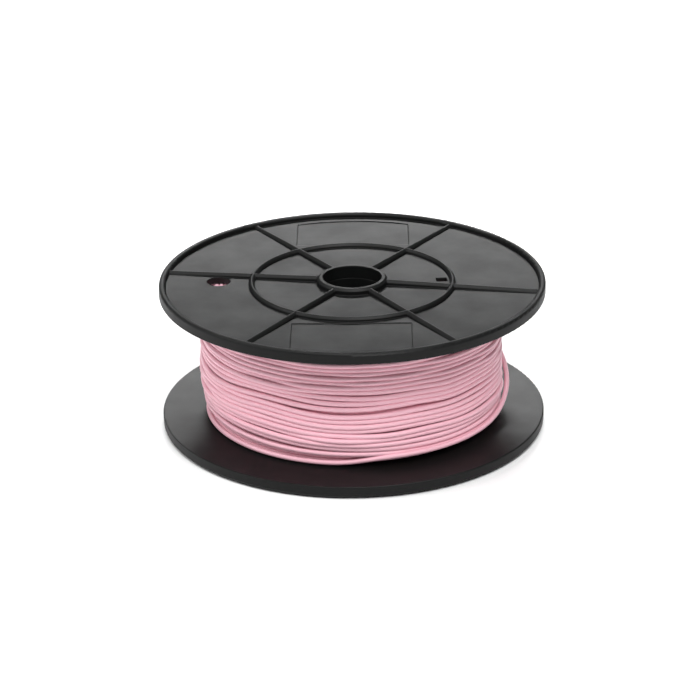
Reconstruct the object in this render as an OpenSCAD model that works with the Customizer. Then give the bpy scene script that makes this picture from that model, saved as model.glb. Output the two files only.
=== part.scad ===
// Moulded plastic reel, wound full with insulated hook-up wire.
// The reel lies on one flange: Z runs up its axis, from the centre of the lower hub collar's end face.
// All sizes are in millimetres and degrees.

/* [Reel] */
// Diameter of both flanges
flange_d = 125; // [118:0.5:140]
// Width over the rims of both flanges
reel_w = 48.5; // [42:0.5:54]
// Diameter of the bore for the spindle
bore_d = 19; // [14:0.5:20]

/* [Flange] */
// Height of the rim over the face that the wire bears on
rim_h = 3.7; // [3.4:0.1:4.6]
// Width of the rim
rim_w = 2.2; // [2:0.1:3.6]
// Round on both edges of the rim's top
rim_round = 0.9; // [0.3:0.1:1]
// Round on the edge of the face that the wire bears on
face_round = 0.3; // [0.1:0.1:0.6]
// Thickness of the web
web_t = 2.1; // [1.8:0.1:2.3]
// How far the hub collar stands proud of the rim
collar_rise = 0.5; // [0.3:0.1:1]
// Wall of the hub collar
collar_wall = 1.9; // [1.2:0.1:2.6]
// Width of the straight ribs below their sloping shoulders
rib_w = 2; // [1.6:0.1:2.6]
// Width of the ring rib below its sloping shoulders
ring_w = 1.8; // [1.6:0.1:2.6]
// Width of the ribs' flat crests; the hub collar has the same shoulder on its outer side
crest_w = 0.5; // [0.3:0.1:1]
// Depth of the ribs' sloping shoulders
shoulder_h = 0.75; // [0.4:0.05:1]
// Draft of the ribs and the collar: how much wider each side is at the foot
rib_draft = 0.1; // [0.05:0.05:0.3]
// How far the straight ribs' crests start below the top of the hub collar
hub_drop = 0.4; // [0.2:0.05:0.8]
// How far the straight ribs' crests end below the top of the rim
rim_drop = 0.65; // [0.5:0.05:1.2]
// How far the ring rib's crest lies below the rim
ring_drop = 0.2; // [0.1:0.05:0.6]
// Lead-in at the spigot's end
lead_in = 0.3; // [0.1:0.05:0.4]
// Angle between the two ribs that flank a label panel
label_angle = 65.5; // [64:0.5:76]
// Turn of the cross rib away from the X axis
cross_turn = -9; // [-14:0.5:-7]

/* [Label panels] */
// Width of the sunk panel for a label
label_w = 37.5; // [30:0.5:38]
// Depth of the panel
label_depth = 0.3; // [0.2:0.05:0.8]
// Strip left between the ring rib and the panel
label_strip = 0.6; // [0.1:0.1:3]
// Strip left between the panel's curved outer edge and the rim
label_margin = 3.2; // [1:0.1:5]

/* [Holes for the wire's ends] */
// Diameter of the hole that takes the finish end
finish_d = 7.6; // [4:0.1:8]
// Radius at which the finish hole lies
finish_r = 43.3; // [40:0.1:50]
// Land between the finish hole and the cross rib
finish_land = 0.1; // [0.1:0.1:2]
// Length of the start slot along the radius
slot_l = 3.6; // [2:0.1:5]
// Width of the start slot
slot_w = 3.2; // [2:0.1:4]
// Angle of the start slot from the X axis
slot_angle = 4.2; // [2:0.1:20]
// Land between the barrel and the start slot
slot_land = 0.2; // [0.1:0.1:1]
// Land between the start slot and the ring rib
ring_land = 0.7; // [0.4:0.1:3]

/* [Core] */
// Outer diameter of the barrel that carries the winding
barrel_d = 54; // [50:0.5:58]
// Wall of the barrel
barrel_wall = 2.5; // [2:0.1:3]
// Wall of the arbor tube round the bore
arbor_wall = 2.4; // [1.6:0.1:3]
// Number of webs between arbor tube and barrel
web_count = 6; // [2:2:8]
// Thickness of those webs
web_w = 1.6; // [1.2:0.1:2.4]

/* [Joint between flange and core] */
// Length of the spigot that plugs into the barrel
spigot_l = 4; // [3:0.1:5]
// Wall of the spigot
spigot_wall = 1.6; // [1.2:0.1:2.2]
// Height of the snap bead on the spigot
bead_h = 0.3; // [0.15:0.05:0.4]
// Width of the snap bead
bead_w = 1.2; // [0.8:0.1:1.6]
// Distance from the spigot's end to the bead
bead_inset = 0.6; // [0.3:0.1:1]
// Clearance of the spigot in the barrel, and of the bead in its groove
fit_gap = 0.1; // [0.05:0.05:0.3]
// Clearance on each side of a core web in the spigot's slot
key_gap = 0.15; // [0.05:0.05:0.4]

/* [Wire] */
// Diameter over the insulation
wire_d = 1.6; // [1.2:0.1:2]
// Diameter over the winding
winding_d = 96.8; // [80:0.4:104]
// Clearance between the winding and each flange
side_gap = 0.3; // [0.2:0.1:0.8]
// Clearance between the barrel and the winding, and between the outer layer and what it lies on
layer_gap = 0.05; // [0.02:0.01:0.2]
// Least gap aimed at between turns of the outer layer
turn_gap = 0.42; // [0.41:0.01:1]
// Bend radius where the outer layer's ends turn in, along the middle of the wire
end_bend = 1.6; // [1.2:0.1:3]
// Clearance round the ends where they enter the layers below
end_gap = 0.35; // [0.3:0.05:0.6]
// Angle round the reel at which both ends of the outer layer turn in
end_angle = 110; // [0:5:355]

/* [Hidden] */
$fn = 96;

plastic_black = [0.07, 0.07, 0.075];
wire_pink = [0.86, 0.52, 0.55];
// Overlap that joins the shapes of one piece, and by which cutters pass a face
join = 0.5;

flange_r = flange_d / 2;
bore_r = bore_d / 2;
collar_r = bore_r + collar_wall;
rim_in_r = flange_r - rim_w;
barrel_r = barrel_d / 2;
barrel_in_r = barrel_r - barrel_wall;
// The winding's room runs between the flanges' inner faces
room_z0 = collar_rise + rim_h;
room_l = reel_w - 2 * rim_h;
room_z1 = room_z0 + room_l;

slot_mid_r = barrel_r + slot_land + slot_l / 2;
ring_in_r = slot_mid_r + slot_l / 2 + ring_land + rib_draft;
ring_out_r = ring_in_r + ring_w;
label_in_y = ring_out_r + rib_draft + label_strip;
// The straight ribs slope down from the hub collar to the rim
collar_h = rim_h + collar_rise;
rib_hub_h = collar_h - hub_drop;
rib_rim_h = rim_h - rim_drop;
rib_slope = atan((rib_hub_h - rib_rim_h) / (rim_in_r - collar_r));
rib_angles = [for (side = [90, 270]) each [side - label_angle / 2, side + label_angle / 2],
              cross_turn, cross_turn + 180];
// The finish hole lies beside the cross rib, on the side away from the back label panel
finish_off = rib_w / 2 + rib_draft + finish_land + finish_d / 2;
finish_angle = cross_turn + 180 + asin(finish_off / finish_r);

spigot_r = barrel_in_r - fit_gap;
spigot_in_r = spigot_r - spigot_wall;
bead_far = spigot_l - bead_inset;
bead_near = bead_far - bead_w;

// Outer layer: 6-sided wire with its flats towards the neighbouring turns, 24 rings to a turn
wire_r = wire_d / 2;
wire_sides = 6;
turn_rings = 24;
bend_rings = 4;
wire_flat = wire_d * cos(180 / wire_sides);
helix_r = winding_d / 2 - wire_r;
helix_z0 = room_z0 + side_gap + wire_r;
helix_z1 = room_z1 - side_gap - wire_r;
turns = floor((helix_z1 - helix_z0) / (wire_flat + turn_gap));
pitch = (helix_z1 - helix_z0) / turns;
// The chords of a turn lie inside its circle, so the layers below stop short of them
inner_layers_r = helix_r * cos(180 / turn_rings) - wire_r - layer_gap;
// Each end runs straight in for one diameter of the wire
tail_x = helix_r - end_bend - wire_d;

// Section of a rib of width w: its crest at 0, sloping shoulders, and drafted sides that reach into the web
module rib_section(w) {
    foot = rib_hub_h - web_t + join;
    polygon([[-w / 2 - rib_draft, -foot], [w / 2 + rib_draft, -foot], [w / 2, -shoulder_h], [crest_w / 2, 0],
             [-crest_w / 2, 0], [-w / 2, -shoulder_h]]);
}

// Rim section, rounded at both edges of its top and a little at the edge of the winding face
module rim_section() {
    difference() {
        translate([rim_in_r, 0]) square([rim_w, rim_h]);
        translate([rim_in_r - join, rim_h - rim_round]) square([rim_w + 2 * join, rim_round + join]);
        translate([flange_r - face_round, -join]) square(face_round + join);
    }
    translate([rim_in_r + rim_round, rim_h - rim_round - join])
        square([rim_w - 2 * rim_round, rim_round + join]);
    for (r = [rim_in_r + rim_round, flange_r - rim_round])
        translate([r, rim_h - rim_round]) circle(rim_round);
    translate([flange_r - face_round, face_round]) circle(face_round);
}

// Spigot section below the winding face, with its snap bead and a lead-in at the end
module spigot_section() {
    polygon([[spigot_in_r, join], [spigot_r, join], [spigot_r, -bead_near],
             [spigot_r + bead_h, -bead_near - bead_h], [spigot_r + bead_h, -bead_far + bead_h],
             [spigot_r, -bead_far], [spigot_r, -spigot_l + lead_in], [spigot_r - lead_in, -spigot_l],
             [spigot_in_r, -spigot_l]]);
}

// Everything on the flange that is round about the axis
module flange_body() {
    rotate_extrude() {
        translate([bore_r, 0]) square([rim_in_r + join - bore_r, web_t]);
        translate([(ring_in_r + ring_out_r) / 2, rim_h - ring_drop]) rib_section(ring_w);
        polygon([[bore_r, 0], [collar_r + rib_draft, 0], [collar_r, collar_h - shoulder_h],
                 [collar_r - (rib_w - crest_w) / 2, collar_h], [bore_r, collar_h]]);
        rim_section();
        spigot_section();
    }
}

// One straight rib that slopes down from the hub collar to the rim; it starts and ends inside them
module flange_rib(angle) {
    rotate(angle) translate([collar_r, 0, rib_hub_h]) rotate([0, rib_slope, 0]) rotate([90, 0, 90])
        translate([0, 0, -join]) linear_extrude((rim_in_r - collar_r) / cos(rib_slope) + 2 * join)
            rib_section(rib_w);
}

// Cutter for the sunk panel, with straight sides and a curved outer edge
module label_cutter() {
    translate([0, 0, web_t - label_depth]) intersection() {
        translate([-label_w / 2, label_in_y, 0]) cube([label_w, rim_in_r, label_depth + join]);
        cylinder(r = rim_in_r - label_margin, h = label_depth + join);
    }
}

// Flange moulding: winding face at 0, outer side up, spigot down
module flange() {
    color(plastic_black) difference() {
        union() {
            flange_body();
            for (angle = rib_angles) flange_rib(angle);
        }
        for (side = [0, 180]) rotate(side) label_cutter();
        rotate(finish_angle) translate([finish_r, 0, -join]) cylinder(d = finish_d, h = rim_h + 2 * join);
        rotate(slot_angle) translate([slot_mid_r - slot_l / 2, -slot_w / 2, -join])
            cube([slot_l, slot_w, rim_h + 2 * join]);
        for (k = [0 : web_count - 1]) rotate(k * 360 / web_count)
            translate([spigot_in_r - join, -web_w / 2 - key_gap, -spigot_l - join])
                cube([spigot_wall + bead_h + 2 * join, web_w + 2 * key_gap, spigot_l + join]);
    }
}

module lower_flange() {
    translate([0, 0, room_z0]) rotate([180, 0, 0]) flange();
}

module upper_flange() {
    translate([0, 0, room_z1]) flange();
}

// Barrel section with a groove near each end for the flanges' snap beads
module barrel_section() {
    groove_w = bead_w + 2 * fit_gap;
    groove_depth = bead_h + fit_gap;
    difference() {
        translate([barrel_in_r, 0]) square([barrel_wall, room_l]);
        for (z = [bead_near - fit_gap, room_l - bead_far - fit_gap])
            translate([barrel_in_r - join, z]) square([join + groove_depth, groove_w]);
    }
}

module core() {
    web_l = barrel_r - barrel_wall / 2 - bore_r - arbor_wall / 2;
    color(plastic_black) translate([0, 0, room_z0]) {
        rotate_extrude() {
            barrel_section();
            translate([bore_r, 0]) square([arbor_wall, room_l]);
        }
        for (k = [0 : web_count - 1]) rotate(k * 360 / web_count)
            translate([bore_r + arbor_wall / 2, -web_w / 2, 0]) cube([web_l, web_w, room_l]);
    }
}

// Notch in the layers below, where an end of the outer layer goes in; it is open towards the flange
module end_notch(y, z, toward) {
    notch_r = wire_r + end_gap;
    translate([tail_x - layer_gap, y, z]) {
        rotate([0, 90, 0]) cylinder(r = notch_r, h = helix_r - tail_x);
        translate([0, -notch_r, min(0, toward * (notch_r + side_gap))])
            cube([helix_r - tail_x, 2 * notch_r, notch_r + side_gap]);
    }
}

module wire_inner_layers() {
    in_r = barrel_r + layer_gap;
    color(wire_pink) rotate(end_angle) difference() {
        translate([0, 0, room_z0 + side_gap]) rotate_extrude()
            translate([in_r, 0]) square([inner_layers_r - in_r, room_l - 2 * side_gap]);
        end_notch(-end_bend, helix_z0, -1);
        end_notch(end_bend, helix_z1, 1);
    }
}

// A ring of the wire is [centre, outward normal]; the third direction of its section is always Z
function helix_ring(k) =
    let (a = 360 * k / turn_rings)
    [[helix_r * cos(a), helix_r * sin(a), helix_z0 + pitch * k / turn_rings], [cos(a), sin(a), 0]];
// Ring on the bend at the start (side -1) or the finish (side 1), b degrees away from the helix
function bend_ring(side, b, z) =
    [[helix_r - end_bend * (1 - cos(b)), side * end_bend * sin(b), z], [cos(b), side * sin(b), 0]];
function tail_ring(side, z) = [[tail_x, side * end_bend, z], [0, side, 0]];
function ring_points(ring) =
    [for (j = [0 : wire_sides - 1]) let (a = 360 * j / wire_sides)
        ring[0] + wire_r * (cos(a) * ring[1] + [0, 0, sin(a)])];

outer_rings = [
    tail_ring(-1, helix_z0),
    for (i = [bend_rings : -1 : 1]) bend_ring(-1, 90 * i / bend_rings, helix_z0),
    for (k = [0 : turns * turn_rings]) helix_ring(k),
    for (i = [1 : bend_rings]) bend_ring(1, 90 * i / bend_rings, helix_z1),
    tail_ring(1, helix_z1)];
outer_points = [for (ring = outer_rings) each ring_points(ring)];
ring_count = len(outer_rings);

// Least distance between each ring and the rings from half a turn to one and a half turns further on
gap_first = turn_rings / 2;
gap_last = turn_rings + turn_rings / 2;
function least_gap(rings) = min([
    for (i = [0 : len(rings) - 1 - gap_first], n = [gap_first : min(gap_last, len(rings) - 1 - i)])
        for (j = [1, 2], m = [4, 5])
            norm(outer_points[i * wire_sides + j] - outer_points[(i + n) * wire_sides + m])]);
echo(turns = turns, pitch = pitch, least_gap_between_turns = least_gap(outer_rings));

module wire_outer_layer() {
    last = (ring_count - 1) * wire_sides;
    faces = [
        for (i = [0 : ring_count - 2], j = [0 : wire_sides - 1])
            let (a = i * wire_sides + j, b = i * wire_sides + (j + 1) % wire_sides)
            each [[a, b, a + wire_sides], [b, b + wire_sides, a + wire_sides]],
        for (j = [1 : wire_sides - 2]) [0, j + 1, j],
        for (j = [1 : wire_sides - 2]) [last, last + j, last + j + 1]];
    color(wire_pink) rotate(end_angle) polyhedron(points = outer_points, faces = faces);
}

lower_flange();
upper_flange();
core();
wire_inner_layers();
wire_outer_layer();
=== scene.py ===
"""Studio scene of a moulded plastic reel, wound full with insulated hook-up wire.

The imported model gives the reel's mouldings and the room for the winding. This script dresses the
mouldings, winds the wire that is seen, and sets up the floor, the light and the camera.
All lengths are in metres and all angles in degrees, unless a name says otherwise. Angles round the
reel are counted from the front, where the camera stands, and grow towards the right.
"""

import logging
import math
from dataclasses import dataclass, field
from enum import Enum

import bmesh
import bpy
import numpy as np
from mathutils import Euler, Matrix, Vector


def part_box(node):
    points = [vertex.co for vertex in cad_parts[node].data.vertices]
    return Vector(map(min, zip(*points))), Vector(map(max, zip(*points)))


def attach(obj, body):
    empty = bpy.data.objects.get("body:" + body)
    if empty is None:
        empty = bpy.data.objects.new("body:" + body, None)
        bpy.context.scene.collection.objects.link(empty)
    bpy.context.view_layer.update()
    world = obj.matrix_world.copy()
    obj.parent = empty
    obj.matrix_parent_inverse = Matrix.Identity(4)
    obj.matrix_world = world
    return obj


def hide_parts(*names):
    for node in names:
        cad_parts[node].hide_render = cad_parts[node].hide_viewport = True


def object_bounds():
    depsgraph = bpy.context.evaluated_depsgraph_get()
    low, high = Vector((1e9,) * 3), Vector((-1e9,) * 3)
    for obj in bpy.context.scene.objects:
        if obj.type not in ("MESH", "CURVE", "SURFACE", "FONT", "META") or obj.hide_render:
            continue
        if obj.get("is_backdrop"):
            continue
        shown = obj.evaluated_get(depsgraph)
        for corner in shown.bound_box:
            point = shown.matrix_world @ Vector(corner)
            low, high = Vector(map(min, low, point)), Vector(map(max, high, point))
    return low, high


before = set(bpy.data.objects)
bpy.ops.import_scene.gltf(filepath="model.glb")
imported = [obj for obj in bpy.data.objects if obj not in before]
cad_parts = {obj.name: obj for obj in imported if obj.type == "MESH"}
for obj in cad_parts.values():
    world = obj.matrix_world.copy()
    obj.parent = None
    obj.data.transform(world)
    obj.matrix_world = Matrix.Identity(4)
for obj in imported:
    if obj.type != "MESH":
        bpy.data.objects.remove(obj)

MM = 0.001
BODY = "root"
PHOTO_PIXELS = 700
# Part of a noise's range that is stretched into the full range of the soft patches
PATCH_RANGE = (0.32, 0.68)
# Samples of the shading that rounds edges
EDGE_SAMPLES = 8

log = logging.getLogger("wire_reel")


class Slot(Enum):
    """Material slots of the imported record."""

    REEL = "reel_plastic"
    WIRE = "wire_insulation"


class Grain(Enum):
    """Names of the shader node groups that several finishes share."""

    FINE = "fine_grain"


class Run(Enum):
    """Numbers that make the waves of one run of wire differ from another's."""

    LOWER = 1
    OUTER = 2
    LIFT = 3


def node(tree: bpy.types.NodeTree, kind: str, **values: object) -> bpy.types.Node:
    """Adds a shader node and sets its plain properties and unlinked inputs.

    Args:
        tree: Node tree that takes the node.
        kind: Blender's type name of the node.
        **values: Property names, or input names with spaces written as underscores.

    Returns:
        The new node.
    """
    made = tree.nodes.new(kind)
    for key, value in values.items():
        socket = made.inputs.get(key.replace("_", " "))
        if hasattr(made, key):
            setattr(made, key, value)
        elif socket is not None:
            socket.default_value = value
        else:
            raise KeyError(f"{kind} has no {key}")
    return made


def fine_grain_group() -> bpy.types.NodeTree:
    """Makes, once, the group that gives a surface its fine grain and its patchy sheen.

    Returns:
        A group with the inputs Vector, Grain Scale, Patch Scale, Smooth and Rough, and the outputs
        Height, a fine relief from 0 to 1, Roughness, and Patch, a soft mask from 0 to 1.
    """
    known = bpy.data.node_groups.get(Grain.FINE.value)
    if known is not None:
        return known
    tree = bpy.data.node_groups.new(Grain.FINE.value, "ShaderNodeTree")
    face = tree.interface
    face.new_socket("Vector", in_out="INPUT", socket_type="NodeSocketVector")
    for name, start in (("Grain Scale", 3000.0), ("Patch Scale", 60.0), ("Smooth", 0.3), ("Rough", 0.5)):
        face.new_socket(name, in_out="INPUT", socket_type="NodeSocketFloat").default_value = start
    for name in ("Height", "Roughness", "Patch"):
        face.new_socket(name, in_out="OUTPUT", socket_type="NodeSocketFloat")
    enter, leave = tree.nodes.new("NodeGroupInput"), tree.nodes.new("NodeGroupOutput")
    link = tree.links.new
    grain = node(tree, "ShaderNodeTexNoise", Detail=3.0, Roughness=0.6)
    link(enter.outputs["Vector"], grain.inputs["Vector"])
    link(enter.outputs["Grain Scale"], grain.inputs["Scale"])
    link(grain.outputs["Fac"], leave.inputs["Height"])
    patch = node(tree, "ShaderNodeTexNoise", Detail=5.0, Roughness=0.55)
    link(enter.outputs["Vector"], patch.inputs["Vector"])
    link(enter.outputs["Patch Scale"], patch.inputs["Scale"])
    mask = node(tree, "ShaderNodeMapRange", clamp=True)
    mask.inputs["From Min"].default_value, mask.inputs["From Max"].default_value = PATCH_RANGE
    link(patch.outputs["Fac"], mask.inputs["Value"])
    link(mask.outputs["Result"], leave.inputs["Patch"])
    rough = node(tree, "ShaderNodeMapRange", clamp=True)
    link(mask.outputs["Result"], rough.inputs["Value"])
    link(enter.outputs["Smooth"], rough.inputs["To Min"])
    link(enter.outputs["Rough"], rough.inputs["To Max"])
    link(rough.outputs["Result"], leave.inputs["Roughness"])
    return tree


@dataclass(frozen=True)
class Finish:
    """A surface finish: two tones in soft patches under a fine grain.

    Attributes:
        name: Name of the material.
        tone_a: Base colour of one half of the patches, linear.
        tone_b: Base colour of the other half.
        smooth: Lowest roughness.
        rough: Highest roughness.
        specular: Specular level of the surface.
        grain_scale: Grains per metre.
        grain_height: Height of the grain.
        patch_scale: Patches per metre.
        along_uv: Whether the pattern follows the mesh's UV map, in metres, and not its place in space.
        stretch: How many times longer the grain is along the UV map's second direction.
        soft_edge: Radius that the shading gives to edges and corners, or 0 for none.
    """

    name: str
    tone_a: tuple[float, float, float]
    tone_b: tuple[float, float, float]
    smooth: float
    rough: float
    specular: float
    grain_scale: float
    grain_height: float
    patch_scale: float
    along_uv: bool = False
    stretch: float = 1.0
    soft_edge: float = 0.0

    def material(self) -> bpy.types.Material:
        """Makes the material, once.

        Returns:
            The new material, or the one that is already made.
        """
        known = bpy.data.materials.get(self.name)
        if known is not None:
            return known
        made = bpy.data.materials.new(self.name)
        made.use_nodes = True
        tree = made.node_tree
        link = tree.links.new
        shader = tree.nodes["Principled BSDF"]
        shader.inputs["Specular IOR Level"].default_value = self.specular
        place = node(tree, "ShaderNodeTexCoord")
        vector = place.outputs["UV" if self.along_uv else "Object"]
        if self.stretch != 1.0:
            scaled = node(tree, "ShaderNodeMapping")
            scaled.inputs["Scale"].default_value = (1.0, 1.0 / self.stretch, 1.0)
            link(vector, scaled.inputs["Vector"])
            vector = scaled.outputs["Vector"]
        grain = node(tree, "ShaderNodeGroup", node_tree=fine_grain_group())
        for name, value in (("Grain Scale", self.grain_scale), ("Patch Scale", self.patch_scale),
                            ("Smooth", self.smooth), ("Rough", self.rough)):
            grain.inputs[name].default_value = value
        link(vector, grain.inputs["Vector"])
        tone = node(tree, "ShaderNodeMix", data_type="RGBA")
        colours = [s for s in tone.inputs if s.type == "RGBA"]
        colours[0].default_value = (*self.tone_a, 1.0)
        colours[1].default_value = (*self.tone_b, 1.0)
        link(grain.outputs["Patch"], tone.inputs["Factor"])
        link([s for s in tone.outputs if s.type == "RGBA"][0], shader.inputs["Base Color"])
        link(grain.outputs["Roughness"], shader.inputs["Roughness"])
        bump = node(tree, "ShaderNodeBump", Strength=1.0, Distance=self.grain_height)
        link(grain.outputs["Height"], bump.inputs["Height"])
        if self.soft_edge > 0.0:
            rounded = node(tree, "ShaderNodeBevel", samples=EDGE_SAMPLES, Radius=self.soft_edge)
            link(rounded.outputs["Normal"], bump.inputs["Normal"])
        link(bump.outputs["Normal"], shader.inputs["Normal"])
        return made


BLACK_PLASTIC = Finish(
    "black_moulded_plastic", (0.0020, 0.0023, 0.0022), (0.0032, 0.0036, 0.0035),
    smooth=0.47, rough=0.55, specular=0.24, grain_scale=3500.0, grain_height=0.006 * MM, patch_scale=90.0,
    soft_edge=0.45 * MM)
PINK_INSULATION = Finish(
    "pink_wire_insulation", (0.87, 0.49, 0.57), (0.91, 0.53, 0.61),
    smooth=0.42, rough=0.52, specular=0.4, grain_scale=2500.0, grain_height=0.008 * MM, patch_scale=120.0,
    along_uv=True, stretch=12.0)
PALE_FLOOR = Finish(
    "pale_studio_floor", (0.86, 0.86, 0.86), (0.88, 0.88, 0.88),
    smooth=0.55, rough=0.65, specular=0.2, grain_scale=900.0, grain_height=0.01 * MM, patch_scale=4.0)


def mesh_object(name: str, points: np.ndarray, faces: list[tuple[int, ...]], finish: Finish,
                uv: np.ndarray | None = None) -> bpy.types.Object:
    """Makes a smooth-shaded mesh object with one finish and links it to the scene.

    Args:
        name: Name of the object and its mesh.
        points: Vertex positions, one row each.
        faces: Vertex numbers of each face.
        finish: Finish of the whole surface.
        uv: Place of each vertex on the UV map, in metres, or None for no map.

    Returns:
        The new object.
    """
    mesh = bpy.data.meshes.new(name)
    mesh.from_pydata(points.tolist(), [], faces)
    if uv is not None:
        layer = mesh.uv_layers.new(name="surface")
        corners = np.empty(len(mesh.loops), np.int64)
        mesh.loops.foreach_get("vertex_index", corners)
        layer.data.foreach_set("uv", uv[corners].astype(np.float32).ravel())
    mesh.shade_smooth()
    mesh.materials.append(finish.material())
    made = bpy.data.objects.new(name, mesh)
    bpy.context.scene.collection.objects.link(made)
    return made


def smoothed(values: np.ndarray, width: float) -> np.ndarray:
    """Smooths a run of values with a bell curve, and keeps its length.

    Args:
        values: The run.
        width: Standard deviation of the bell curve, in steps of the run.

    Returns:
        The smoothed run.
    """
    reach = int(math.ceil(3 * width))
    bell = np.exp(-0.5 * (np.arange(-reach, reach + 1) / width) ** 2)
    return np.convolve(np.pad(values, reach, mode="edge"), bell / bell.sum(), mode="valid")


@dataclass
class Mouldings:
    """The three plastic pieces of the reel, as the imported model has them.

    Attributes:
        nodes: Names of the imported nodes.
    """

    nodes: tuple[str, ...] = ("lower_flange", "upper_flange", "core")

    def dress(self) -> list[bpy.types.Object]:
        """Gives each moulding its finish, and leaves its mesh as it is.

        Returns:
            The dressed objects.
        """
        dressed = [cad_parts[name] for name in self.nodes]
        for piece in dressed:
            piece.data.materials.clear()
            piece.data.materials.append(BLACK_PLASTIC.material())
        return dressed


@dataclass(frozen=True)
class Softness:
    """How softly the wire bends: widths over which its runs are smoothed, in stations.

    Attributes:
        push: After each round of pushing turns apart.
        join: Over the outer layer and the finish end together.
        lay: Over the outer layer's radii and the finish end's heights.
        rest: Over the radii at which the finish end rests on the layers.
        slack: Over the finish end's slack.
    """

    push: float = 0.5
    join: float = 1.5
    lay: float = 2.5
    rest: float = 3.0
    slack: float = 4.0


@dataclass
class Winding:
    """The wire on the reel: its inner turns, the layer below the outer one, and the outer layer.

    Heights are counted from the face of the lower flange that the wire bears on. The wire runs on
    towards smaller angles: down the lower layer, up the outer layer, and down once more over it as the
    finish end.

    Attributes:
        wire_d: Diameter over the insulation.
        sides: Facets round the wire.
        steps: Stations in each turn.
        side_gap: Room between the winding and each flange.
        barrel_gap: Room between the barrel and the first layer.
        layer_step: Radius that a layer adds, where its turns lie in the grooves of the one below.
        outer_top: How far the outer layer stays below the topmost turn of the lower one.
        outer_turns: Turns in the outer layer.
        crown: How much fuller the winding is at its fullest height.
        crown_drop: How far that height lies below the middle.
        crown_reach: Distance from there to where nothing is added, as a share of the wire's height.
        crown_least: Least share of the crown, which makes the winding slimmer at its ends.
        lean: How much fuller it is on its left side.
        parting: Size of the noise that parts two turns.
        closed_share: How far that noise must rise before a gap opens.
        squeeze: How close two turns of the outer layer may lie along the axis, in wire diameters.
        lift: How loosely the outer layer lies on the one below.
        open_places: Height, width, angle and reach of each place where the outer layer lets the lower
            one show.
        finish_route: Angle, height and slack of the finish end, from the outer layer's top to its tip.
        lower_wave: Size of the waves in the lower layer.
        fine_share: Share of the finest waves in a run's own waves.
        fine_parts: Parts of a turn, each as long as the finest waves are smoothed over.
        slow_parts: Parts of a turn, each as long as the slower waves are smoothed over.
        shared_size: Size of the slowest wave that neighbouring turns share.
        shared_lobes: How many times each shared wave goes up and down in a turn.
        shared_drift: Least and greatest turn of a shared wave for each millimetre of height, in radians.
        calm_foot: Height over which the shared waves grow to their full size.
        push_rounds: Rounds of pushing turns apart.
        bead_arc: Angle on each side to which a turn's bead is drawn on the inner turns.
        bead_points: Points along such a bead.
        softness: How softly the wire bends.
        seed: Seed for the small unevenness of the winding.
        base: Place of the lower flange's face along the reel's axis.
        low: Height of the lowest turn.
        high: Height of the topmost turn.
        outer_r: Radius of the outer layer, at the middle of its wire.
        barrel_r: Radius at which the first layer starts.
    """

    wire_d: float = 1.6 * MM
    sides: int = 12
    steps: int = 180
    side_gap: float = 0.3 * MM
    barrel_gap: float = 0.05 * MM
    layer_step: float = 1.42 * MM
    outer_top: float = 3.9 * MM
    outer_turns: int = 20
    crown: float = 0.7 * MM
    crown_drop: float = 3.0 * MM
    crown_reach: float = 0.42
    crown_least: float = -0.3
    lean: float = 0.4 * MM
    parting: float = 0.7
    closed_share: float = 0.1
    squeeze: float = 0.94
    lift: float = 0.1 * MM
    open_places: tuple[tuple[float, float, float, float], ...] = (
        (28.6 * MM, 1.0 * MM, 5, 45), (5.3 * MM, 0.5 * MM, -30, 25))
    finish_route: tuple[tuple[float, float, float], ...] = (
        (250, 35.9 * MM, 0.0), (215, 34.5 * MM, 0.1 * MM), (180, 28.8 * MM, 0.1 * MM),
        (140, 21.3 * MM, 0.2 * MM), (104, 13.9 * MM, 0.5 * MM), (88, 8.7 * MM, 0.9 * MM),
        (75, 5.1 * MM, 0.5 * MM), (62, 3.8 * MM, 0.1 * MM), (42, 3.6 * MM, 0.0), (20, 3.5 * MM, 0.0),
        (11, 3.2 * MM, 0.0), (5, 2.4 * MM, 0.0), (-2, 1.2 * MM, 0.0), (-20, 1.1 * MM, 0.0),
        (-90, 1.1 * MM, 0.0), (-150, 1.1 * MM, 0.0))
    lower_wave: float = 0.036 * MM
    fine_share: float = 0.7
    fine_parts: int = 60
    slow_parts: int = 16
    shared_size: float = 0.3 * MM
    shared_lobes: tuple[int, ...] = (1, 2, 3, 5, 8)
    shared_drift: tuple[float, float] = (0.1, 0.4)
    calm_foot: float = 6.0 * MM
    push_rounds: int = 80
    bead_arc: float = 80.0
    bead_points: int = 7
    softness: Softness = Softness()
    seed: int = 11
    base: float = field(init=False)
    low: float = field(init=False)
    high: float = field(init=False)
    outer_r: float = field(init=False)
    barrel_r: float = field(init=False)

    def __post_init__(self) -> None:
        """Takes the winding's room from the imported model."""
        self.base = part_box("core")[0].z
        self.low = self.side_gap + self.wire_d / 2
        self.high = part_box("core")[1].z - self.base - self.side_gap - self.wire_d / 2
        self.barrel_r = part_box("core")[1].x + self.barrel_gap
        self.outer_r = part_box("wire_outer_layer")[1].x - self.wire_d / 2

    @property
    def lower_r(self) -> float:
        """Radius of the lower layer, at the middle of its wire."""
        return self.outer_r - self.layer_step

    @property
    def lower_turns(self) -> int:
        """Turns that lie side by side in the lower layer."""
        return int((self.high - self.low) / self.wire_d)

    def shared_wave(self, angle: np.ndarray, height: np.ndarray) -> np.ndarray:
        """Slow waves that neighbouring turns share.

        Args:
            angle: Angle of each station, in radians.
            height: Height of each station.

        Returns:
            How far each station is moved along the reel's axis.
        """
        random = np.random.default_rng(self.seed)
        wave = np.zeros_like(angle)
        for lobes in self.shared_lobes:
            size = self.shared_size / lobes ** 0.5
            phase, drift = random.uniform(0, math.tau), random.uniform(*self.shared_drift)
            wave += size * np.sin(lobes * angle + drift * height / MM + phase)
        return wave

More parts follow.
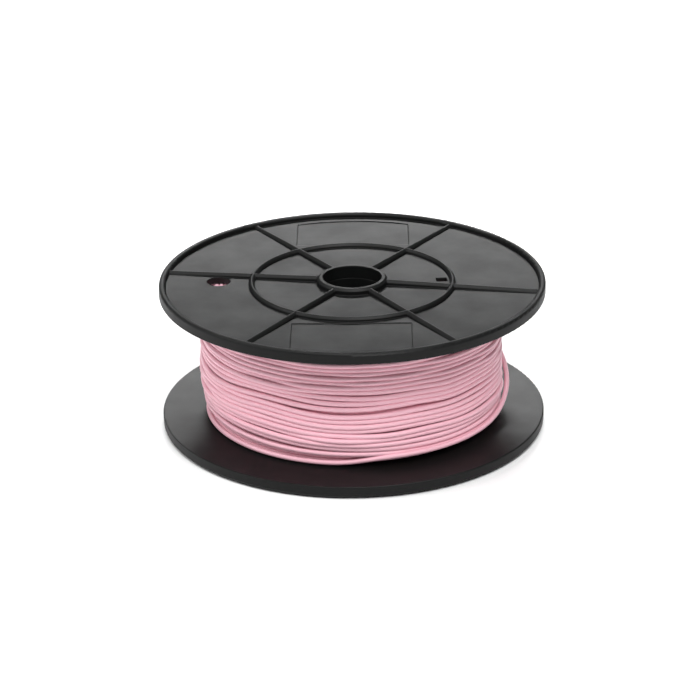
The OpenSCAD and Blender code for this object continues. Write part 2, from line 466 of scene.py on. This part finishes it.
    def own_wave(self, count: int, size: float, run: Run) -> np.ndarray:
        """Short waves of one run of wire.

        Args:
            count: Number of stations.
            size: Size of the waves.
            run: Which run of wire it is.

        Returns:
            The waves, station by station.
        """
        random = np.random.default_rng(self.seed + run.value)
        rough = random.normal(0.0, 1.0, count)
        fine = smoothed(rough, self.steps / self.fine_parts)
        slow = smoothed(rough[::-1], self.steps / self.slow_parts)
        return size * (self.fine_share * fine / fine.std() + slow / slow.std())

    def angles(self, first: int, count: int) -> np.ndarray:
        """Angles of stations, in radians, from their numbers along the wire."""
        return np.radians(self.finish_route[0][0]) - math.tau * (first + np.arange(count)) / self.steps

    def resting_r(self, heights: np.ndarray, below_z: np.ndarray, below_r: np.ndarray) -> np.ndarray:
        """Radius at which each station rests on the turns below it.

        Args:
            heights: Height of each station. Station 0 is at the same angle as the first one below.
            below_z: Heights of the stations below.
            below_r: Radii of the stations below.

        Returns:
            The least radius at which the wire clears every turn below it.
        """
        turns = len(below_z) // self.steps
        z = below_z[:turns * self.steps].reshape(turns, self.steps)
        r = below_r[:turns * self.steps].reshape(turns, self.steps)
        spot = np.arange(len(heights)) % self.steps
        apart = heights[None, :] - z[:, spot]
        room = np.clip(self.wire_d ** 2 - apart ** 2, 0.0, None)
        touch = np.where(np.abs(apart) < self.wire_d, r[:, spot] + np.sqrt(room), 0.0)
        return touch.max(axis=0)

    def spread(self, heights: np.ndarray, top: float) -> np.ndarray:
        """Pushes turns apart that lie in each other, within the layer's room.

        Args:
            heights: Heights of the layer's stations, turn after turn upwards.
            top: Highest place of the layer.

        Returns:
            The heights after pushing.
        """
        step = self.steps
        least = self.squeeze * self.wire_d
        for _ in range(self.push_rounds):
            short = np.minimum(heights[step:] - heights[:-step] - least, 0.0) / 2
            heights[:-step] += short
            heights[step:] -= short
            heights = np.clip(smoothed(heights, self.softness.push), self.low, top)
        return heights

    def lower_layer(self) -> tuple[np.ndarray, np.ndarray]:
        """Lays the layer below the outer one, from its top down.

        Returns:
            Heights and radii, station by station.
        """
        count = self.lower_turns * self.steps
        down = np.linspace(self.high, self.low, count)
        heights = down + self.own_wave(count, self.lower_wave, Run.LOWER)
        heights = self.spread(heights[::-1].copy(), self.high)[::-1]
        return heights, np.full(count, self.lower_r)

    def outer_layer(self, below: tuple[np.ndarray, np.ndarray]) -> tuple[np.ndarray, np.ndarray]:
        """Lays the outer layer, from its bottom up.

        Args:
            below: Heights and radii of the layer below.

        Returns:
            Heights and radii, station by station.
        """
        turns, step = self.outer_turns, self.steps
        angle = self.angles(0, turns * step).reshape(turns, step)
        noise = self.own_wave(turns * step, self.parting, Run.OUTER).reshape(turns, step)
        parted = np.clip(noise - self.closed_share, 0.0, None)
        tight = (1 - self.squeeze) * self.wire_d
        slack = (self.high - self.outer_top - self.low) / turns - self.squeeze * self.wire_d
        heights = self.rows(angle, parted * slack / parted.mean() - tight).ravel()
        grown = np.clip((heights - self.low) / self.calm_foot, 0.0, 1.0)
        heights = heights + grown * self.shared_wave(angle.ravel(), heights)
        heights = self.spread(heights, self.high - self.outer_top)
        loose = np.clip(self.own_wave(turns * step, self.lift, Run.LIFT), 0.0, None)
        radii = self.ride_up(heights, self.resting_r(heights, *below) + loose)
        return heights, smoothed(radii, self.softness.lay)

    def ride_up(self, heights: np.ndarray, radii: np.ndarray) -> np.ndarray:
        """Lifts each turn of the outer layer over the one before it, where they are squeezed together.

        Args:
            heights: Heights of the stations.
            radii: Radii at which the stations rest on the layer below.

        Returns:
            The radii after lifting.
        """
        z, r = heights.reshape(-1, self.steps), radii.reshape(-1, self.steps).copy()
        for turn in range(1, len(z)):
            clear = np.sqrt(np.clip(self.wire_d ** 2 - (z[turn] - z[turn - 1]) ** 2, 0.0, None))
            close = np.abs(r[turn] - r[turn - 1]) < clear
            r[turn] = np.where(close, r[turn - 1] + clear, r[turn])
        return r.ravel()

    def rows(self, angle: np.ndarray, gaps: np.ndarray) -> np.ndarray:
        """Stacks the turns of the outer layer on each other.

        Args:
            angle: Angle of each station in radians, a row for each turn.
            gaps: Gap between each station and the one a turn further on.

        Returns:
            Heights, in the same rows.
        """
        first = self.low + self.wire_d * np.arange(self.steps) / self.steps
        rows = [first + gaps[0, 0] * np.arange(self.steps) / self.steps]
        for turn, gap in zip(angle, gaps[:-1]):
            for place, width, middle, reach in self.open_places:
                off = (rows[-1] + self.wire_d / 2 - place) / (self.wire_d / 2)
                aside = (np.degrees(turn) - middle + 180) % 360 - 180
                gap = gap + width * np.exp(-off ** 2 - (aside / reach) ** 2)
            rows.append(rows[-1] + self.wire_d + gap)
        return np.array(rows)

    def finish_end(self, *below: tuple[np.ndarray, np.ndarray]) -> tuple[np.ndarray, np.ndarray]:
        """Lays the finish end, from the top of the outer layer to its tip.

        Args:
            *below: Heights and radii of each layer below.

        Returns:
            Heights and radii, station by station.
        """
        route = np.array(self.finish_route)
        count = int((route[0, 0] - route[-1, 0]) / 360 * self.steps)
        angle = route[0, 0] - 360 * np.arange(count) / self.steps
        heights = smoothed(np.interp(-angle, -route[:, 0], route[:, 1]), self.softness.lay)
        slack = smoothed(np.interp(-angle, -route[:, 0], route[:, 2]), self.softness.slack)
        rests = np.max([self.resting_r(heights, *layer) for layer in below], axis=0)
        return heights, smoothed(rests, self.softness.rest) + slack

    def full(self, angle: np.ndarray, heights: np.ndarray) -> np.ndarray:
        """Works out how much fuller the winding is than a plain cylinder.

        Args:
            angle: Angle of each station, in radians.
            heights: Height of each station.

        Returns:
            What is added to each station's radius.
        """
        fullest = (self.low + self.high) / 2 - self.crown_drop
        reach = self.crown_reach * (self.high - self.low)
        bulge = np.clip(1 - ((heights - fullest) / reach) ** 2, self.crown_least, 1)
        return bulge * (self.crown - self.lean * np.sin(angle))

    def tube(self, name: str, angle: np.ndarray, radii: np.ndarray,
             heights: np.ndarray) -> bpy.types.Object:
        """Makes one run of wire as a tube with closed ends.

        Args:
            name: Name of the piece.
            angle: Angle of each station, in radians.
            radii: Radius of each station.
            heights: Height of each station.

        Returns:
            The tube.
        """
        out = np.stack([np.sin(angle), -np.cos(angle), np.zeros_like(angle)], axis=1)
        middle = out * radii[:, None]
        middle[:, 2] = self.base + heights
        ahead = np.gradient(middle, axis=0)
        ahead /= np.linalg.norm(ahead, axis=1, keepdims=True)
        side = np.cross(ahead, out)
        side /= np.linalg.norm(side, axis=1, keepdims=True)
        up = np.cross(side, ahead)
        turn = math.tau * np.arange(self.sides) / self.sides
        cosine, sine = np.cos(turn)[None, :, None], np.sin(turn)[None, :, None]
        ring = cosine * up[:, None, :] + sine * side[:, None, :]
        points = (middle[:, None, :] + ring * self.wire_d / 2).reshape(-1, 3)
        run = np.concatenate([[0.0], np.cumsum(np.linalg.norm(np.diff(middle, axis=0), axis=1))])
        girth = turn * self.wire_d / 2
        uv = np.stack(np.broadcast_arrays(girth[None, :], run[:, None]), axis=2).reshape(-1, 2)
        n, count = self.sides, len(angle)
        faces = [(i * n + j, (i + 1) * n + j, (i + 1) * n + (j + 1) % n, i * n + (j + 1) % n)
                 for i in range(count - 1) for j in range(n)]
        faces += [tuple(range(n)), tuple(reversed(range((count - 1) * n, count * n)))]
        return mesh_object(name, points, faces, PINK_INSULATION, uv)

    def inner_turns(self) -> bpy.types.Object:
        """Makes the turns below as one ring, with a bead for every turn that reaches its surface.

        Returns:
            The ring.
        """
        r = self.wire_d / 2
        top_r = self.lower_r - self.layer_step
        rows = np.linspace(self.low, self.high, self.lower_turns + 1)
        columns = np.linspace(self.barrel_r + r, top_r, int((top_r - self.barrel_r) / self.layer_step))
        arc = np.radians(np.linspace(-self.bead_arc, self.bead_arc, self.bead_points))
        profile = [(self.barrel_r, self.low)]
        profile += [(x + r * math.sin(a), self.low - r * math.cos(a)) for x in columns for a in arc]
        profile += [(top_r + r * math.cos(a), z + r * math.sin(a)) for z in rows for a in arc]
        profile += [(x + r * math.sin(a), self.high + r * math.cos(a)) for x in columns[::-1] for a in -arc]
        profile += [(self.barrel_r, self.high)]
        section = np.array(profile)
        angle = math.tau * np.arange(self.steps) / self.steps
        points = np.stack([
            section[None, :, 0] * np.sin(angle)[:, None],
            -section[None, :, 0] * np.cos(angle)[:, None],
            np.broadcast_to(self.base + section[:, 1], (self.steps, len(section)))], axis=2).reshape(-1, 3)
        n, faces = len(section), []
        for i in range(self.steps):
            here, ahead = i * n, (i + 1) % self.steps * n
            faces += [(here + j, here + (j + 1) % n, ahead + (j + 1) % n, ahead + j) for j in range(n)]
        length = np.concatenate([[0.0], np.cumsum(np.linalg.norm(np.diff(section, axis=0), axis=1))])
        girth = angle * self.lower_r
        uv = np.stack(np.broadcast_arrays(length[None, :], girth[:, None]), axis=2).reshape(-1, 2)
        return mesh_object("wire_inner_turns", points, faces, PINK_INSULATION, uv)

    def build(self) -> list[bpy.types.Object]:
        """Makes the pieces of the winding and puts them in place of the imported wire.

        Returns:
            The pieces.
        """
        lower = self.lower_layer()
        outer = self.outer_layer(lower)
        finish = self.finish_end(lower, outer)
        heights = np.concatenate([outer[0], finish[0]])
        radii = smoothed(np.concatenate([outer[1], finish[1]]), self.softness.join)
        inner = self.inner_turns()
        pieces = [inner]
        for name, run_z, run_r in (("wire_lower_layer", *lower), ("wire_outer_turns", heights, radii)):
            angle = self.angles(0, len(run_z))
            pieces.append(self.tube(name, angle, run_r + self.full(angle, run_z), run_z))
        for piece in pieces:
            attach(piece, BODY)
        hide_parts("wire_inner_layers")
        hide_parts("wire_outer_layer")
        return pieces


@dataclass
class Panel:
    """A soft light panel.

    Attributes:
        name: Name of the light.
        place: Where it stands.
        size: Its width and height.
        power: Its power in watts.
        aim: Point that it faces.
        spread: Angle over which it sends out its light, as a grid in front of it would narrow it.
    """

    name: str
    place: tuple[float, float, float]
    size: tuple[float, float]
    power: float
    aim: tuple[float, float, float] = (0.0, 0.0, 0.025)
    spread: float = 180.0

    def build(self) -> bpy.types.Object:
        """Makes the light.

        Returns:
            The light's object.
        """
        light = bpy.data.lights.new(self.name, "AREA")
        light.shape = "RECTANGLE"
        light.size, light.size_y = self.size
        light.energy = self.power
        light.spread = math.radians(self.spread)
        made = bpy.data.objects.new(self.name, light)
        made.location = self.place
        made.rotation_euler = (Vector(self.aim) - made.location).to_track_quat("-Z", "Y").to_euler()
        made.visible_camera = False
        bpy.context.scene.collection.objects.link(made)
        return made


@dataclass
class Studio:
    """Pale floor and soft light.

    Attributes:
        floor_r: Half the floor's width.
        floor_cells: Cells along each side of the floor.
        sky: Colour of the light from all round.
        sky_strength: Strength of that light.
        panels: The light panels.
    """

    floor_r: float = 6.0
    floor_cells: int = 8
    sky: tuple[float, float, float] = (1.0, 1.0, 1.0)
    sky_strength: float = 0.14
    panels: tuple[Panel, ...] = (
        Panel("back_panel", (0.0, 0.98, 0.73), (1.4, 0.12), 6.4, aim=(0.0, 0.45, 0.0), spread=46.0),
        Panel("top_panel", (0.0, -0.15, 1.2), (1.0, 0.8), 6.0),
        Panel("left_panel", (-1.1, -0.2, 0.9), (0.8, 0.8), 8.6),
        Panel("key_panel", (0.32, -0.9, 1.3), (1.3, 0.7), 21.8),
    )

    def floor(self) -> bpy.types.Object:
        """Makes the floor that the reel stands on.

        Returns:
            The floor.
        """
        made = bmesh.new()
        cells = self.floor_cells
        bmesh.ops.create_grid(made, x_segments=cells, y_segments=cells, size=self.floor_r)
        mesh = bpy.data.meshes.new("floor")
        made.to_mesh(mesh)
        made.free()
        mesh.materials.append(PALE_FLOOR.material())
        floor = bpy.data.objects.new("floor", mesh)
        bpy.context.scene.collection.objects.link(floor)
        floor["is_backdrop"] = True
        return floor

    def build(self) -> None:
        """Makes the floor, the light from all round and the panels."""
        self.floor()
        world = bpy.data.worlds.new("studio")
        world.use_nodes = True
        sky = world.node_tree.nodes["Background"]
        sky.inputs["Color"].default_value = (*self.sky, 1.0)
        sky.inputs["Strength"].default_value = self.sky_strength
        bpy.context.scene.world = world
        for panel in self.panels:
            panel.build()
        bpy.context.scene.view_settings.view_transform = "Standard"


@dataclass
class ViewingCamera:
    """Camera at the photograph's viewing angle.

    Attributes:
        distance: Distance from the reel's middle.
        elevation: Height over the horizon.
        azimuth: Turn round the reel, towards the right.
        focal_pixels: Focal length in pixels of the frame.
        offset_pixels: How far the reel's middle lies right of and above the frame's middle.
        roll: Turn of the frame that raises the reel's right side, in radians.
        sensor: Width of the sensor, in millimetres.
        near: Least distance that is drawn.
        far: Greatest distance that is drawn.
    """

    distance: float = 900.0 * MM
    elevation: float = 23.0
    azimuth: float = 0.55
    focal_pixels: float = 2756.0
    offset_pixels: tuple[float, float] = (2.9, 2.9)
    roll: float = 0.0112
    sensor: float = 36.0
    near: float = 0.01
    far: float = 50.0

    def build(self, target: Vector) -> bpy.types.Object:
        """Makes the camera and gives it to the scene.

        Args:
            target: The reel's middle.

        Returns:
            The camera's object.
        """
        data = bpy.data.cameras.new("camera")
        data.sensor_width = self.sensor
        data.lens = self.focal_pixels / PHOTO_PIXELS * self.sensor
        tilt, turn = math.radians(self.elevation), math.radians(self.azimuth)
        made = bpy.data.objects.new("camera", data)
        level = Euler((math.pi / 2 - tilt, 0.0, turn)).to_quaternion()
        made.location = target + level @ Vector((0.0, 0.0, self.distance))
        right, up = (pixels / self.focal_pixels for pixels in self.offset_pixels)
        made.rotation_mode = "QUATERNION"
        made.rotation_quaternion = level @ Euler((-up, right, -self.roll)).to_quaternion()
        data.clip_start, data.clip_end = self.near, self.far
        bpy.context.scene.collection.objects.link(made)
        bpy.context.scene.camera = made
        return made


def main() -> None:
    """Builds the scene and reports each piece."""
    logging.basicConfig(level=logging.INFO, format="%(name)s: %(message)s")
    low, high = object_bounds()
    target = (low + high) / 2
    ViewingCamera().build(target)
    Studio().build()
    for piece in [*Mouldings().dress(), *Winding().build()]:
        log.info("%s: %d vertices", piece.name, len(piece.data.vertices))


if __name__ == "__main__":
    main()
